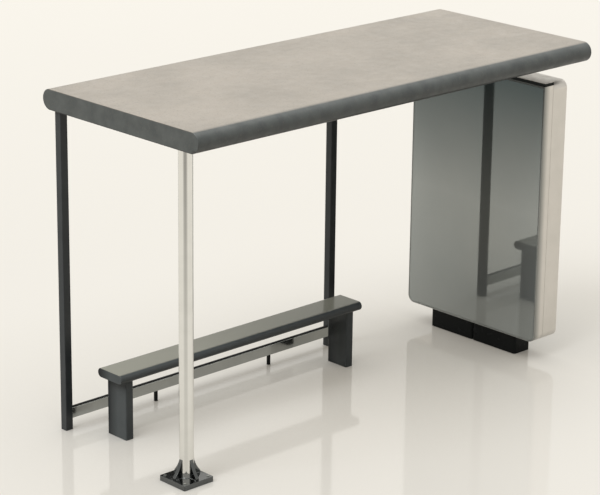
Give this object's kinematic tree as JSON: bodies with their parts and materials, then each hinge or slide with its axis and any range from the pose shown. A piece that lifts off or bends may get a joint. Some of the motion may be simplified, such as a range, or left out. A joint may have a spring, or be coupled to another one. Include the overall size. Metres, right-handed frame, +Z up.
{
  "type": "bus shelter",
  "caption": "Open bus shelter with a flat slab roof on slim posts, a glazed poster case at one end, a low back rail and a slab bench.",
  "frame": {"origin": "centre of the footprint at ground level", "axes": "+X along the shelter towards the poster case, +Y from the open front to the back posts, +Z up"},
  "size_m": [3.867, 1.582, 2.445],
  "materials": {
    "roof_mineral": "fine-grained mineral panel with faint streaks, matt",
    "dark_lacquer": "gloss dark grey lacquer",
    "polished_steel": "polished stainless steel",
    "dark_casting": "polished dark coating",
    "rail_grey": "polished grey coating",
    "black_rubber": "matt black rubber",
    "black_steel": "gloss black coating",
    "bench_slab": "polished dark composite slab",
    "case_metal": "satin champagne coating",
    "smoked_glass": "smoked polished glass, opaque behind"
  },
  "bodies": {
    "root": {"back_rail": "rail_grey", "back_rail_bead": "black_rubber", "back_rail_foot_left": "black_steel", "back_rail_foot_right": "black_steel", "base_plate": "dark_casting", "bench_leg_left": "bench_slab", "bench_leg_right": "bench_slab", "bench_seat": "bench_slab", "case_divider": "case_metal", "case_front_frame": "case_metal", "case_front_gasket": "black_rubber", "case_front_pane": "smoked_glass", "case_head_plate": "black_steel", "case_rear_frame": "case_metal", "case_rear_gasket": "black_rubber", "case_rear_pane": "smoked_glass", "gusset_back": "dark_casting", "gusset_front": "dark_casting", "gusset_left": "dark_casting", "gusset_right": "dark_casting", "plinth_back": "black_steel", "plinth_front": "black_steel", "post_back_left": "dark_lacquer", "post_back_middle": "dark_lacquer", "post_front_left": "polished_steel", "roof_back_nose": "roof_mineral", "roof_end_left": "roof_mineral", "roof_end_right": "roof_mineral", "roof_front_nose": "roof_mineral", "roof_soffit": "roof_mineral", "roof_stub_back": "black_steel", "roof_stub_front": "black_steel", "roof_top_panel": "roof_mineral"}
  },
  "joints": []
}
